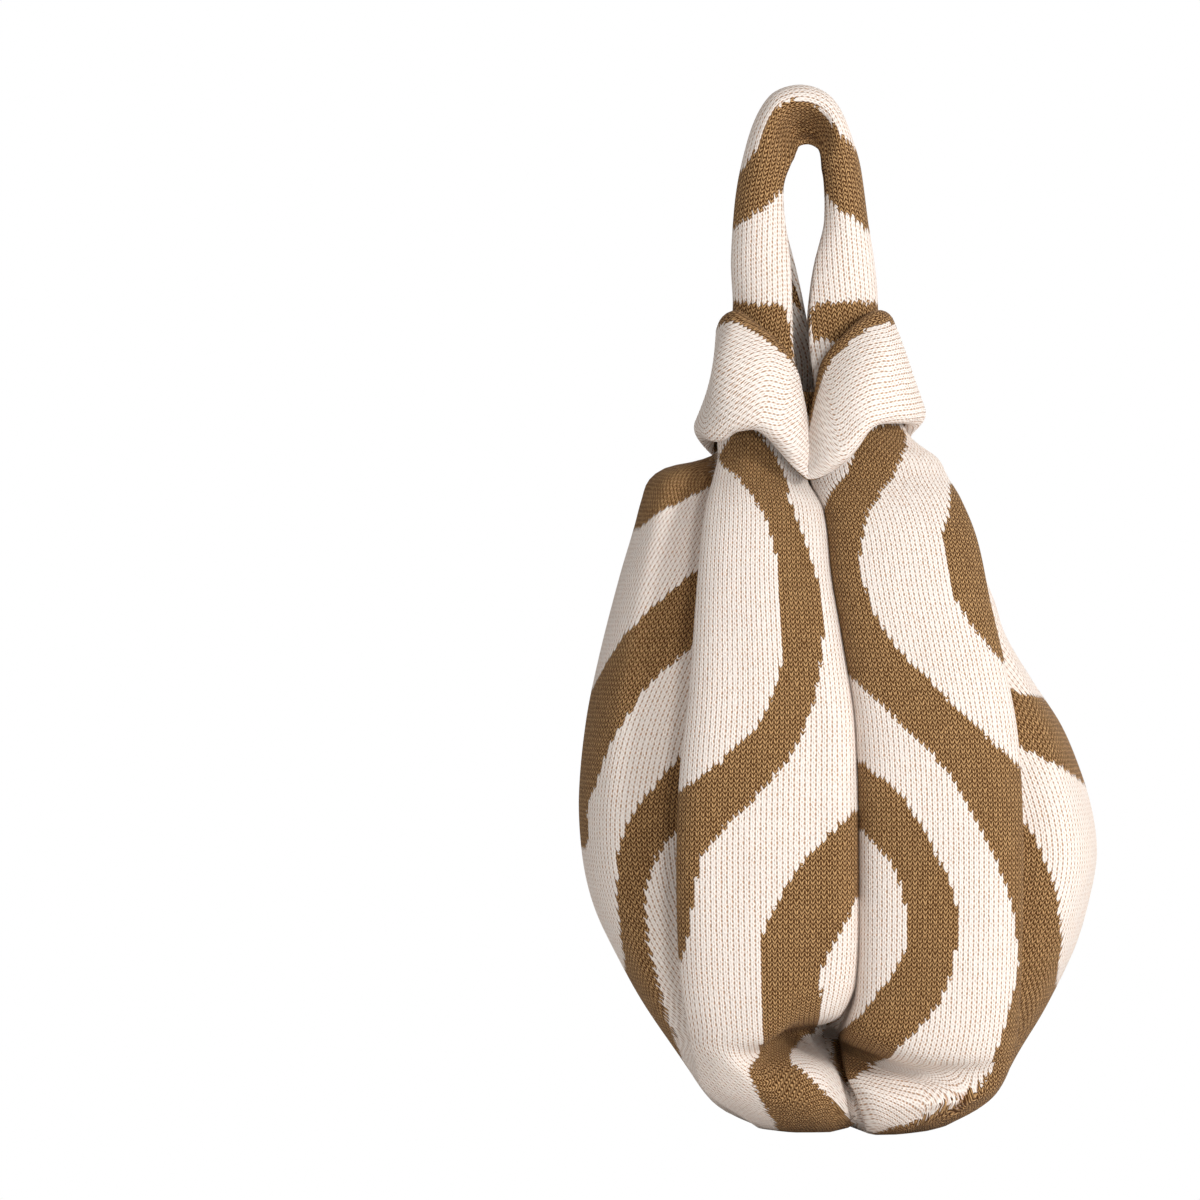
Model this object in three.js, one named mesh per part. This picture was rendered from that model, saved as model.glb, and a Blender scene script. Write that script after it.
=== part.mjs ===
// A knitted bag that stands on its base, closed by passing the long handle through the short one.
// Millimetres, +Z up, +X to the right and -Y to the front. The origin is under the middle of the bag.
import * as THREE from 'three';

// Driving dimensions.
const CLOTH = 2.6;
const NECK_HEIGHT = 326;
const SEAM_GAP = 0.5;
const STRAP_CURL = 3.5;
const CREAM = 0xe9ddd2;

// A column of a table whose rows are sorted by the column named key, as a smooth curve.
function column(table, key, name) {
  const rows = [...table].sort((a, b) => a[key] - b[key]);
  const slope = rows.map((row, i) => {
    const before = rows[Math.max(i - 1, 0)];
    const after = rows[Math.min(i + 1, rows.length - 1)];
    return (after[name] - before[name]) / (after[key] - before[key]);
  });
  return (at) => {
    const last = rows.length - 1;
    if (at <= rows[0][key]) return rows[0][name];
    if (at >= rows[last][key]) return rows[last][name];
    const i = rows.findIndex((row) => row[key] > at) - 1;
    const span = rows[i + 1][key] - rows[i][key];
    const t = (at - rows[i][key]) / span;
    const start = rows[i][name];
    const end = rows[i + 1][name];
    const rise = (end - start) / span;
    // A stretch that would overshoot is drawn with flatter ends.
    const limit = (m) => (m * rise <= 0 ? 0 : Math.sign(rise) * Math.min(Math.abs(m), 3 * Math.abs(rise)));
    const m0 = limit(slope[i]) * span;
    const m1 = limit(slope[i + 1]) * span;
    const t2 = t * t;
    const t3 = t2 * t;
    return (2 * t3 - 3 * t2 + 1) * start + (t3 - 2 * t2 + t) * m0 + (3 * t2 - 2 * t3) * end + (t3 - t2) * m1;
  };
}

function table(names, rows) {
  const keys = names.split(' ');
  return rows.map((row) => Object.fromEntries(keys.map((key, i) => [key, row[i]])));
}

// The closed solid of a sheet: its outer face is a grid of points, its inner face lies CLOTH behind it.
// A grid that is round goes all the way about; foot closes the last row with a point in its middle.
function sheetSolid(grid, { round = false, foot = null } = {}) {
  const rows = grid.length;
  const cols = grid[0].length;
  const at = (r, c) => {
    const row = grid[Math.min(Math.max(r, 0), rows - 1)];
    return round ? row[(c + cols) % cols] : row[Math.min(Math.max(c, 0), cols - 1)];
  };
  const outer = [];
  const inner = [];
  for (let r = 0; r < rows; r += 1) {
    for (let c = 0; c < cols; c += 1) {
      const across = new THREE.Vector3().subVectors(at(r, c + 1), at(r, c - 1));
      const down = new THREE.Vector3().subVectors(at(r + 1, c), at(r, c)).normalize();
      down.add(new THREE.Vector3().subVectors(at(r, c), at(r - 1, c)).normalize());
      const normal = new THREE.Vector3().crossVectors(down, across).normalize();
      if (foot && r === rows - 1) normal.setZ(0).normalize().setZ(-1).normalize();
      outer.push(grid[r][c]);
      inner.push(grid[r][c].clone().addScaledVector(normal, -CLOTH));
    }
  }
  const points = [...outer, ...inner];
  const half = rows * cols;
  const faces = [];
  const wall = (a, b, c, d) => faces.push([a, b, c], [a, c, d]);
  const steps = round ? cols : cols - 1;
  for (let r = 0; r < rows - 1; r += 1) {
    for (let c = 0; c < steps; c += 1) {
      const next = (c + 1) % cols;
      const corners = [r * cols + c, (r + 1) * cols + c, (r + 1) * cols + next, r * cols + next];
      wall(...corners);
      wall(...corners.map((index) => index + half).reverse());
    }
  }
  for (let c = 0; c < steps; c += 1) {
    const next = (c + 1) % cols;
    wall(c, next, next + half, c + half);
    const a = (rows - 1) * cols + c;
    const b = (rows - 1) * cols + next;
    if (foot) {
      const under = 2 * half;
      faces.push([a, under, b], [b + half, under + 1, a + half]);
    } else wall(b, a, a + half, b + half);
  }
  if (foot) points.push(foot, foot.clone().setZ(foot.z + CLOTH));
  if (!round) {
    for (let r = 0; r < rows - 1; r += 1) {
      const left = r * cols;
      const right = left + cols - 1;
      wall(left + cols, left, left + half, left + cols + half);
      wall(right, right + cols, right + cols + half, right + half);
    }
  }
  const geometry = new THREE.BufferGeometry();
  geometry.setAttribute('position', new THREE.Float32BufferAttribute(points.flatMap((p) => p.toArray()), 3));
  geometry.setIndex(faces.flat());
  geometry.computeVertexNormals();
  return geometry;
}

// The body. Its outline from the front, one row for each height: the left and right edges of the
// whole bag, the ridges of the two front panels, and the deep fold between them.
const OUTLINE = {
  left: table('h x z', [
    [326, -50, 326], [310, -50.5, 310], [301, -54, 301], [297, -62, 297.5], [293, -76, 294.5],
    [288, -84, 289], [280, -87.5, 280], [267, -91, 267], [245, -97.5, 245], [210, -106.5, 210],
    [180, -112.5, 180], [145, -115.5, 145], [118, -113.5, 118], [98, -108.5, 98], [80, -100, 80],
    [55, -86, 55], [25, -66, 25], [10, -56, 10], [4, -48, 4], [0, -38, 0],
  ]),
  right: table('h x', [
    [326, 24], [310, 25], [300, 30], [290, 36], [275, 46], [255, 59], [235, 69], [220, 75], [200, 86.5],
    [180, 98.5], [160, 107.5], [140, 113.5], [122, 115.5], [100, 111.5], [80, 105], [55, 92], [35, 81],
    [18, 72], [10, 66], [4, 59], [0, 50],
  ]),
  leftRidge: table('h x', [
    [326, -53.5], [300, -53.5], [290, -56], [275, -60], [245, -63.5], [200, -67], [160, -71.5],
    [120, -73], [80, -72], [55, -69], [35, -65], [18, -59], [0, -36],
  ]),
  rightRidge: table('h x', [
    [326, 26.5], [316, 27.5], [309, 30], [304, 35], [298, 43], [290, 49], [280, 55], [262, 62], [235, 68.5],
    [205, 72.5], [175, 75.5], [130, 77.5], [55, 76.5], [35, 74.5], [18, 68], [8, 60], [0, 47],
  ]),
  fold: table('h x deep gap', [
    [326, -13, 3, 4], [300, -14, 5, 3], [288, -14, 14, 1.6], [275, -8, 24, 1.3], [245, -5, 32, 1.2],
    [220, -1, 34, 1.2], [180, 4.7, 34, 1.2], [100, 6.2, 34, 1.2], [65, 5, 28, 1.2], [48, -1, 25, 1.8],
    [40, -4.5, 21, 4.5], [33, -4, 17, 4.5], [25, 0.5, 13, 2.8], [10, 5, 8, 2.6], [4, 6.5, 4.5, 3.2], [0, 7, 2, 4],
  ]),
};

// How far the front panels and the back stand out, and how deep the folds beside the panels are.
const DEPTH = table('h front back leftFold rightFold backFold', [
  [326, -22, 22, 1, 1, 2], [310, -24, 24, 2, 1, 2], [300, -27.5, 26.5, 5, 2, 3],
  [290, -33.5, 32.5, 10, 4, 5], [280, -42, 41, 13, 6, 7], [265, -51, 51, 14, 9, 9],
  [235, -62, 61, 15, 12, 11], [190, -69, 69, 16, 14, 12], [150, -72.5, 72, 16, 14, 12],
  [110, -73.5, 73, 16, 13, 12], [80, -71, 71, 14, 12, 10], [50, -64.5, 65, 9, 8, 7],
  [25, -52, 55.5, 4, 3, 4], [10, -45, 49, 2, 1, 3], [4, -40.5, 44.5, 1, 1, 2], [0, -31, 35, 1, 1, 2],
]);

// Where the two panels end above the base, their cloth turns in under them and out again as two lobes.
const LOBE = table('h front', [
  [80, -71], [60, -67.5], [52, -64.5], [47, -59], [44, -51.5], [41.5, -43.5], [38, -43], [32, -49.5],
  [25, -53], [17, -52], [10, -48.5], [4, -43], [0, -33],
]);

// Heights of the rows of the grid, closest where the shoulder and the base turn.
const ROW_HEIGHTS = [
  326, 318, 310, 304, 299.5, 296, 292.5, 288, 281, 270, 254, 234, 212, 190, 168, 146, 124, 104, 86, 71,
  60, 52, 47, 44, 41.5, 38, 32, 25, 17, 10, 5, 2, 0,
];

const SIDE_Y = 8;
const PLAIN_LEDGE = 43;
const curve = {
  left: column(OUTLINE.left, 'h', 'x'),
  leftZ: column(OUTLINE.left, 'h', 'z'),
  right: column(OUTLINE.right, 'h', 'x'),
  leftRidge: column(OUTLINE.leftRidge, 'h', 'x'),
  rightRidge: column(OUTLINE.rightRidge, 'h', 'x'),
  fold: column(OUTLINE.fold, 'h', 'x'),
  foldDeep: column(OUTLINE.fold, 'h', 'deep'),
  foldGap: column(OUTLINE.fold, 'h', 'gap'),
};
for (const name of ['front', 'back', 'leftFold', 'rightFold', 'backFold']) {
  curve[name] = column(DEPTH, 'h', name);
}
const lobeFront = column(LOBE, 'h', 'front');
curve.lobe = (h) => (h > 80 ? curve.front(h) : lobeFront(h));

// How much of the ledge above the lobes a place on the front has, and how high the ledge runs there.
function ledged(h, x, share, ledge) {
  const rise = THREE.MathUtils.smoothstep(h, 8, 34) * (1 - THREE.MathUtils.smoothstep(h, 52, 100));
  return {
    y: THREE.MathUtils.lerp(curve.front(h), curve.lobe(h), share),
    z: h + share * (ledge - PLAIN_LEDGE) * rise,
    x,
  };
}

// The controls of one section, from the left edge round the front to the right edge and the back.
// steps is the number of grid steps to the next one.
function section(h) {
  const left = curve.left(h);
  const right = curve.right(h);
  const leftRidge = curve.leftRidge(h);
  const rightRidge = curve.rightRidge(h);
  const fold = curve.fold(h);
  const gap = curve.foldGap(h);
  const front = curve.front(h);
  const back = curve.back(h);
  const wide = right - left;
  const middle = (left + right) / 2;
  const lip = Math.min(curve.foldDeep(h) / 14, 1);
  // A side fold fades out where it is shallow, towards the neck and the base.
  const leftTucked = THREE.MathUtils.smoothstep(curve.leftFold(h), 3, 12);
  const rightTucked = THREE.MathUtils.smoothstep(curve.rightFold(h), 3, 10);
  const leftValley = front + 11 + Math.max(curve.leftFold(h), 6);
  const rightValley = front + 13 + Math.max(curve.rightFold(h), 6);
  const leftBulge = THREE.MathUtils.lerp((leftValley + SIDE_Y) / 2, front * 0.68 + 6, leftTucked);
  const rightBulge = THREE.MathUtils.lerp((rightValley + SIDE_Y) / 2, front * 0.62 + 6, rightTucked);
  const controls = [];
  const put = (x, y, z, steps) => controls.push({ x, y, z, steps });
  const onFront = (x, behind, share, ledge, steps) => {
    const place = ledged(h, x, share, ledge);
    put(x, place.y + behind, place.z, steps);
  };
  const shoulder = curve.leftZ(h);
  put(left, SIDE_Y, shoulder, 2);
  put(left * 0.62 + leftRidge * 0.38, leftBulge, shoulder * 0.6 + h * 0.4, 2);
  put(leftRidge + 5 * leftTucked, leftValley, h, 2);
  put(leftRidge, front + 11, h, 2);
  onFront(leftRidge + 7, 3.5, 0, 38, 2);
  const panel = (share) => THREE.MathUtils.lerp(leftRidge, fold - 7 - gap, share);
  onFront(panel(0.4), 0, 0.1, 38, 2);
  onFront(panel(0.6), 0, 0.5, 41, 1);
  onFront(panel(0.8), 1.4 * lip, 0.95, 45, 2);
  const inside = 11 * lip;
  const bottom = inside + curve.foldDeep(h);
  const skew = 3 * lip * (1 - THREE.MathUtils.smoothstep(h, 26, 44));
  const turn = Math.min(2.4, curve.foldDeep(h) * 0.5);
  onFront(fold - 7 - gap, 3.5 * lip + skew, 1, 46, 2);
  onFront(fold - gap, inside + skew, 1, 47, 1);
  onFront(fold - gap * 0.9, bottom - turn, 1, 46, 1);
  onFront(fold, bottom, 1, 45, 1);
  onFront(fold + gap * 0.9, bottom - turn, 1, 43, 1);
  onFront(fold + gap, inside - skew * 0.6, 1, 41, 2);
  onFront(fold + 7 + gap, 3.5 * lip - skew * 0.6, 1, 38, 3);
  onFront((rightRidge + fold) * 0.5, 0, 0.95, 30, 2);
  onFront(rightRidge - 8, 4.5, 0.1, 24, 2);
  put(rightRidge, front + 13, h, 2);
  put(rightRidge - 5 * rightTucked, rightValley, h, 2);
  put(right * 0.6 + rightRidge * 0.4, rightBulge, h, 2);
  put(right, SIDE_Y, h, 2);
  put(right - wide * 0.09, back * 0.64, h, 2);
  put(right - wide * 0.28, back * 0.96, h, 2);
  put(middle + 9, back * 0.98, h, 1);
  put(middle, back - curve.backFold(h), h, 1);
  put(middle - 9, back * 0.98, h, 2);
  put(left + wide * 0.28, back * 0.96, h * 0.7 + shoulder * 0.3, 2);
  put(left + wide * 0.09, back * 0.64, h * 0.4 + shoulder * 0.6, 2);
  return controls;
}

// A smooth closed curve through the controls, with the steps that they name.
function roundCurve(controls) {
  const points = controls.map((p) => new THREE.Vector3(p.x, p.y, p.z));
  const line = new THREE.CatmullRomCurve3(points, true, 'centripetal');
  const out = [];
  controls.forEach((control, i) => {
    for (let s = 0; s < control.steps; s += 1) out.push(line.getPoint((i + s / control.steps) / controls.length));
  });
  return out;
}

function bodyGeometry() {
  const grid = ROW_HEIGHTS.map((h) => roundCurve(section(h)));
  const base = grid[grid.length - 1];
  base.forEach((point) => point.setZ(0));
  grid[0].forEach((point) => point.setZ(NECK_HEIGHT));
  const middle = base.reduce((sum, point) => sum.add(point), new THREE.Vector3()).divideScalar(base.length);
  return sheetSolid(grid, { round: true, foot: middle });
}

// Stops along a strap: each row of its table, and between two rows a place on a smooth curve through
// them and their neighbours.
function stopsAlong(rows, names) {
  const row = (i) => rows[Math.min(Math.max(i, 0), rows.length - 1)];
  const between = (i, name) => (9 * (row(i)[name] + row(i + 1)[name]) - row(i - 1)[name] - row(i + 2)[name]) / 16;
  return rows.flatMap((here, i) => {
    if (i === rows.length - 1) return [here];
    return [here, Object.fromEntries(names.map((name) => [name, between(i, name)]))];
  });
}

// The way ahead at a stop, from the stop before it to the one after it.
function aheadAt(stops, i, ends = [['x', 'y', 'z']]) {
  const before = stops[Math.max(i - 1, 0)];
  const after = stops[Math.min(i + 1, stops.length - 1)];
  const step = (axis) => ends.reduce((sum, names) => sum + after[names[axis]] - before[names[axis]], 0);
  return new THREE.Vector3(step(0), step(1), step(2)).normalize();
}

// The long handle: the middle of the curled strap, its half width across the arch, its half depth,
// how far round it curls (degrees each way), how much its face is
// dented, and how much further in its rear edge reaches.
const ARCH = table('x y z wide deep curl dent flap', [
  [-33, 0, NECK_HEIGHT + SEAM_GAP, 17, 18.5, 96, 0, 0], [-33.5, -2, 345, 15, 17, 108, 0, 3],
  [-34.3, -5, 366, 12.8, 14, 128, 0, 6], [-35, -7, 384, 13, 12.5, 140, 0, 3], [-36, -8, 406, 11, 12.5, 142, 0, 0],
  [-35, -8, 422, 10, 13, 142, 0, 0], [-32.8, -8, 437.5, 10.6, 13, 142, 1, 0], [-28.5, -8, 444.8, 11.4, 13, 140, 3, 0],
  [-22.3, -8, 449.1, 12, 13, 138, 5, 0], [-15.2, -8, 450.5, 12.2, 13, 136, 6, 0],
  [-8.2, -8, 448.7, 11.8, 13, 138, 4, 0], [-3, -8, 444.2, 10.6, 13.5, 140, 2, 0],
  [0, -8, 438.3, 9.2, 14, 142, 0, 0], [1.2, -8, 431, 8.4, 14, 142, 0, 0], [2.7, -8, 415, 9, 14, 142, 0, 0],
  [3, -8, 403, 10, 14, 142, 0, 0], [2.9, -7, 387, 12.7, 13.5, 140, 0, 0],
  [2.6, -5, 371.5, 14.7, 14, 130, 0, 0], [3.5, -2, 350, 15.2, 17, 108, 0, 0],
  [7, 0, NECK_HEIGHT + SEAM_GAP, 16.5, 18.5, 96, 0, 0],
]);
const ARCH_SECTION_STEPS = 11;

function longHandleGeometry() {
  const names = ['x', 'y', 'z', 'wide', 'deep', 'curl', 'dent', 'flap'];
  const grid = stopsAlong(ARCH, names).map((here, i, all) => {
    // The arch lies across the bag, so outward is square to its path and to the depth.
    const ahead = aheadAt(all, i).setY(0).normalize();
    if (i === 0) ahead.set(0, 0, 1);
    if (i === all.length - 1) ahead.set(0, 0, -1);
    const outward = new THREE.Vector3(-ahead.z, 0, ahead.x);
    const reach = THREE.MathUtils.degToRad(here.curl);
    const row = [];
    for (let k = 0; k <= ARCH_SECTION_STEPS; k += 1) {
      const turn = THREE.MathUtils.lerp(-reach, reach, k / ARCH_SECTION_STEPS);
      const round = here.wide * (2 * (Math.cos(turn) - Math.cos(reach)) / (1 - Math.cos(reach)) - 1);
      const out = round - here.flap * Math.max(turn / reach, 0) ** 3;
      const dent = here.dent * Math.exp(-(((turn + 1.5) / 0.6) ** 2));
      const point = new THREE.Vector3(here.x, here.y + here.deep * Math.sin(turn) + dent, here.z);
      row.push(point.addScaledVector(outward, out));
    }
    return row;
  });
  return sheetSolid(grid);
}

// The short handle: the line of its upper rim and of its lower rim, how far its face bows out and how
// much its lower rim rolls in, from its root at the back left,
// round the left side to the crease in front, and round the right side to the other root.
const COLLAR = table('x y z lowX lowY lowZ bow roll', [
  [-18, 29, 336, -22, 29.5, 295, 2, 0.3], [-32, 29, 343, -37, 29.7, 295, 3, 0.3], [-46, 23, 350, -54, 25, 300, 4, 0.5],
  [-53, 10, 356, -63.5, 10, 308, 4, 0.9], [-53.5, -8, 359, -64.5, -12, 310, 3, 1],
  [-51, -19, 361, -60, -31, 307, 4, 1], [-46, -25.5, 360.5, -52, -41, 309, 5, 1],
  [-39, -28.5, 356, -43, -45.5, 310, 5, 1], [-31, -30, 350, -36, -47, 308, 4, 1],
  [-24, -30.5, 342, -29, -47.5, 302, 3, 1], [-20, -31, 332, -23.5, -47, 295, 2, 0.6],
  [-14.4, -31, 309, -15.3, -43, 287, 0.5, 0.25], [-9, -31, 331, -6.5, -47, 290.5, 2, 0.6],
  [-6, -30, 341, 0, -47.5, 293, 3, 1], [1, -30, 349.5, 5.5, -47, 301.5, 4, 1],
  [8.5, -28.5, 356, 11, -45.5, 308.5, 5, 1], [16, -25, 360.5, 18, -41.5, 312.5, 5, 1],
  [22, -18, 361.5, 31, -31, 313.5, 4, 1], [24, -8, 359, 39.5, -12, 313, 3, 1],
  [24.5, 10, 355, 39, 10, 309, 4, 0.9], [20, 23, 349, 30, 27, 301, 4, 0.5],
  [7, 29, 343, 13, 30.9, 295, 3, 0.3], [-7, 29, 336, -3, 29.5, 295, 2, 0.3],
]);
const COLLAR_FACE_STEPS = 5;
const UPPER_CURL = [93, 62, 31];
const LOWER_CURL = [47, 93, 140];

function collarSection(here, outward) {
  const top = new THREE.Vector3(here.x, here.y, here.z);
  const down = new THREE.Vector3(here.lowX, here.lowY, here.lowZ).sub(top);
  const length = down.length();
  down.normalize();
  const face = outward.clone().addScaledVector(down, -outward.dot(down)).normalize();
  const place = (out, along) => top.clone().addScaledVector(face, out).addScaledVector(down, along);
  const row = [];
  for (const degrees of UPPER_CURL) {
    const turn = THREE.MathUtils.degToRad(degrees * here.roll);
    row.push(place(STRAP_CURL * (Math.cos(turn) - 1), STRAP_CURL * (1 - Math.sin(turn))));
  }
  const flat = length - 2 * STRAP_CURL;
  for (let k = 0; k <= COLLAR_FACE_STEPS; k += 1) {
    const t = k / COLLAR_FACE_STEPS;
    row.push(place(here.bow * Math.sin(Math.PI * t), STRAP_CURL + flat * t));
  }
  for (const degrees of LOWER_CURL) {
    const turn = THREE.MathUtils.degToRad(degrees * here.roll);
    row.push(place(STRAP_CURL * (Math.cos(turn) - 1), length - STRAP_CURL * (1 - Math.sin(turn))));
  }
  return row;
}

function shortHandleGeometry() {
  const names = ['x', 'y', 'z', 'lowX', 'lowY', 'lowZ', 'bow', 'roll'];
  const rims = [['x', 'y', 'z'], ['lowX', 'lowY', 'lowZ']];
  const grid = stopsAlong(COLLAR, names).map((here, i, all) => {
    const ahead = aheadAt(all, i, rims);
    return collarSection(here, new THREE.Vector3(ahead.y, -ahead.x, 0).normalize());
  });
  return sheetSolid(grid);
}

function piece(name, geometry, color) {
  const material = new THREE.MeshStandardMaterial({ color, roughness: 0.95, metalness: 0 });
  const mesh = new THREE.Mesh(geometry, material);
  mesh.name = name;
  return mesh;
}

const bag = new THREE.Group();
bag.add(piece('body', bodyGeometry(), CREAM));
bag.add(piece('long_handle', longHandleGeometry(), CREAM));
bag.add(piece('short_handle', shortHandleGeometry(), CREAM));

export default bag;
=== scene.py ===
"""A knitted bag that stands on its base, closed by passing its long handle through its short one.

The tables are in millimetres, in the frame of the CAD model: +X right, -Y to the front, +Z up.
"""
import math

import bpy
import numpy as np
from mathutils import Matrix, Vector


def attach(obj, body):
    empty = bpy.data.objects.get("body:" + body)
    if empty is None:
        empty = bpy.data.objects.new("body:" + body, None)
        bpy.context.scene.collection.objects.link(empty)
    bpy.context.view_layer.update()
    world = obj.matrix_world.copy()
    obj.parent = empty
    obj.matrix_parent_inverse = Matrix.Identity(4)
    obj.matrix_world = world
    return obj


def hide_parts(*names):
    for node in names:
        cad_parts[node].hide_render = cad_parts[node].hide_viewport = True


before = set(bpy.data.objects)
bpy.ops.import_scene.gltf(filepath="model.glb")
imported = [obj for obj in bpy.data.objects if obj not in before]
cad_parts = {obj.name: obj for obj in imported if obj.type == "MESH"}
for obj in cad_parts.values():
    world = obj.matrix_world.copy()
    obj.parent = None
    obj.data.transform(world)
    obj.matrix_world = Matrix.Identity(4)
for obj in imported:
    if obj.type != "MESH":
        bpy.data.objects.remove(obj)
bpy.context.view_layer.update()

# The view: a long lens straight in front, level with the middle of the bag. The bag stands to the
# right of the middle of the picture, so the camera is a little to its left.
EYE = (-106.148, -2200.0, 235.04)
view = bpy.data.cameras.new("view")
view.sensor_width = 36.0
view.lens = 148.0
view.clip_end = 100.0
camera = bpy.data.objects.new("view", view)
camera.location = [value / 1000.0 for value in EYE]
camera.rotation_euler = (math.radians(90.0), 0.0, 0.0)
bpy.context.collection.objects.link(camera)
bpy.context.scene.camera = camera


# The body: one seamless tube of two-colour jacquard knit, 2.6 mm thick. It is gathered at the neck,
# hangs in two front panels with a deep fold between them and two bulges behind, and its lower end
# is tucked in under the panels like the end of a parcel.
CLOTH = 2.6
NECK_HEIGHT = 326.0
# A wale is a column of stitches and a course is a row of them.
WALE = 2.4
COURSE = 2.1
# Each section of the body has a height h, and the tables say where its edges and folds lie.
NECK_TO_BASE = [
    326, 318, 310, 304, 299.5, 296, 292.5, 288, 281, 270, 254, 234, 212, 190, 168, 146, 124, 104,
    86, 71, 60, 53, 49.5, 47, 45, 43.2, 41.5, 38, 32, 25, 17, 10, 5, 2, 0,
]
# The lower end doesn't lie flat. It rises to both sides, and at the crease between its two lobes.
BASE_LIFT = [
    (-70, 5), (-50, 3), (-35, 1.6), (-20, 1), (-5, 1.2), (3, 3), (7, 5), (9, 3), (11.5, 0.6), (15, 0),
    (24, 0.2), (38, 1.2), (50, 3), (70, 6),
]
LIFTED_BELOW = 32
ROW_SPACING = 2.3
STEPS_FINER = 5
# The bag is widest in this plane. The other values say how far behind a panel's face its outer edge
# and the mouth of the pleat beside it lie.
SIDE_Y = 8.0
LEFT_EDGE_BEHIND = 11
RIGHT_EDGE_BEHIND = 13
LEFT_PLEAT_BEHIND = 17
RIGHT_PLEAT_BEHIND = 13
LEAST_PLEAT = 6
LIP_WIDTH = 7
LIP_DEPTH = 11
# The ledge over the lobes, where the panels are tucked in, and the hollow in its middle.
LEDGE_HEIGHT = 39
HOLLOW_HALF = 7


def table(names, rows):
    """Rows of values, each under the names of its columns."""
    return [dict(zip(names.split(), row)) for row in rows]


# The left edge of the bag, which has a height of its own at the square shoulder.
LEFT = table("h x z", [
    (326, -50, 326), (310, -50.5, 310), (301, -54, 301), (297, -62, 297.5), (293, -76, 294.5),
    (288, -84, 289), (280, -87.5, 280), (267, -91, 267), (245, -97.5, 245), (210, -106.5, 210),
    (180, -112.5, 180), (145, -115.5, 145), (118, -113.5, 118), (98, -108.5, 98), (80, -100, 80),
    (55, -86, 55), (25, -66, 25), (10, -56, 10), (4, -48, 4), (0, -38, 0),
])
RIGHT = table("h x", [
    (326, 24), (310, 25), (300, 30), (290, 36), (275, 46), (255, 57), (235, 66.5), (220, 71.5),
    (200, 84.5), (180, 98.5), (160, 107.5), (140, 113.5), (122, 115.5), (100, 111.5), (80, 105),
    (55, 92), (35, 81), (18, 72), (10, 66), (4, 59), (0, 50),
])
# The outer edges of the two front panels.
LEFT_RIDGE = table("h x", [
    (326, -53.5), (300, -53.5), (290, -56), (275, -60), (245, -63.5), (200, -67), (160, -71.5),
    (120, -73), (80, -72), (55, -69), (35, -65), (18, -59), (0, -36),
])
RIGHT_RIDGE = table("h x", [
    (326, 26.5), (316, 27.5), (309, 30), (304, 35), (298, 43), (290, 47), (280, 52.5), (262, 59),
    (235, 64), (205, 70.5), (175, 75.5), (130, 77.5), (55, 76.5), (35, 74.5), (18, 68), (8, 60),
    (0, 47),
])
# The fold between the panels: its middle, how deep its floor lies, and half its gap.
FOLD = table("h x deep gap", [
    (326, -13, 3, 4), (300, -14, 5, 3), (288, -14, 14, 1.0), (275, -8, 24, 0.5),
    (245, -5, 32, 0.4), (220, -1, 34, 0.4), (180, 4.7, 34, 0.4), (100, 6.2, 34, 0.4),
    (65, 5, 28, 0.6), (50, 0, 32, 1.6), (44.5, -4, 34, 4), (40, -6, 36, 7), (35, -5.5, 32, 6.5),
    (27, -0.5, 18, 3), (18, 3.5, 11, 2.6), (10, 5, 8, 2.6), (4, 6.5, 4.5, 3.2), (0, 7, 2, 4),
])
# The panels' faces, the back, and how deep the pleats beside the panels and the back's fold are.
DEPTH = table("h front back left_fold right_fold back_fold", [
    (326, -22, 22, 1, 1, 2), (310, -24, 24, 2, 1, 2), (300, -27.5, 26.5, 5, 2, 3),
    (290, -33.5, 32.5, 10, 4, 5), (280, -42, 41, 13, 6, 7), (265, -51, 51, 14, 9, 9),
    (235, -62, 61, 15, 12, 11), (190, -69, 69, 16, 14, 12), (150, -72.5, 72, 16, 14, 12),
    (110, -73.5, 73, 16, 13, 12), (80, -71, 71, 14, 12, 10), (50, -64.5, 65, 9, 8, 7),
    (25, -52, 55.5, 4, 3, 4), (10, -45, 49, 2, 1, 3), (4, -40.5, 44.5, 1, 1, 2),
    (0, -31, 35, 1, 1, 2),
])
# The faces of the two lobes of the lower end, and of the ledge over them.
LOBE = table("h front", [
    (80, -71), (62, -68.5), (53, -66), (48, -62), (45.5, -55), (43.5, -44), (41, -39.5),
    (38, -41), (32, -49), (25, -54.5), (17, -54), (10, -50.5), (4, -43.5), (0, -33),
])


def smooth_column(rows, key, name, at):
    """One column of a table at the given places, as a smooth curve that never overshoots."""
    rows = sorted(rows, key=lambda row: row[key])
    place = np.array([row[key] for row in rows], float)
    value = np.array([row[name] for row in rows], float)
    before = np.maximum(np.arange(len(rows)) - 1, 0)
    after = np.minimum(np.arange(len(rows)) + 1, len(rows) - 1)
    slope = (value[after] - value[before]) / (place[after] - place[before])
    at = np.clip(at, place[0], place[-1])
    i = np.clip(np.searchsorted(place, at, side="right") - 1, 0, len(rows) - 2)
    span = place[i + 1] - place[i]
    t = (at - place[i]) / span
    rise = (value[i + 1] - value[i]) / span

    def limited(m):
        steep = np.sign(rise) * np.minimum(np.abs(m), 3 * np.abs(rise))
        return np.where(m * rise <= 0, 0, steep) * span

    flat = (2 * t**3 - 3 * t**2 + 1) * value[i] + (3 * t**2 - 2 * t**3) * value[i + 1]
    return flat + (t**3 - 2 * t**2 + t) * limited(slope[i]) + (t**3 - t**2) * limited(slope[i + 1])


def ease(at, low, high):
    """0 below low, 1 above high, and a smooth step between them."""
    t = np.clip((at - low) / (high - low), 0, 1)
    return t * t * (3 - 2 * t)


def mix(a, b, share):
    return a + (b - a) * share


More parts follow.
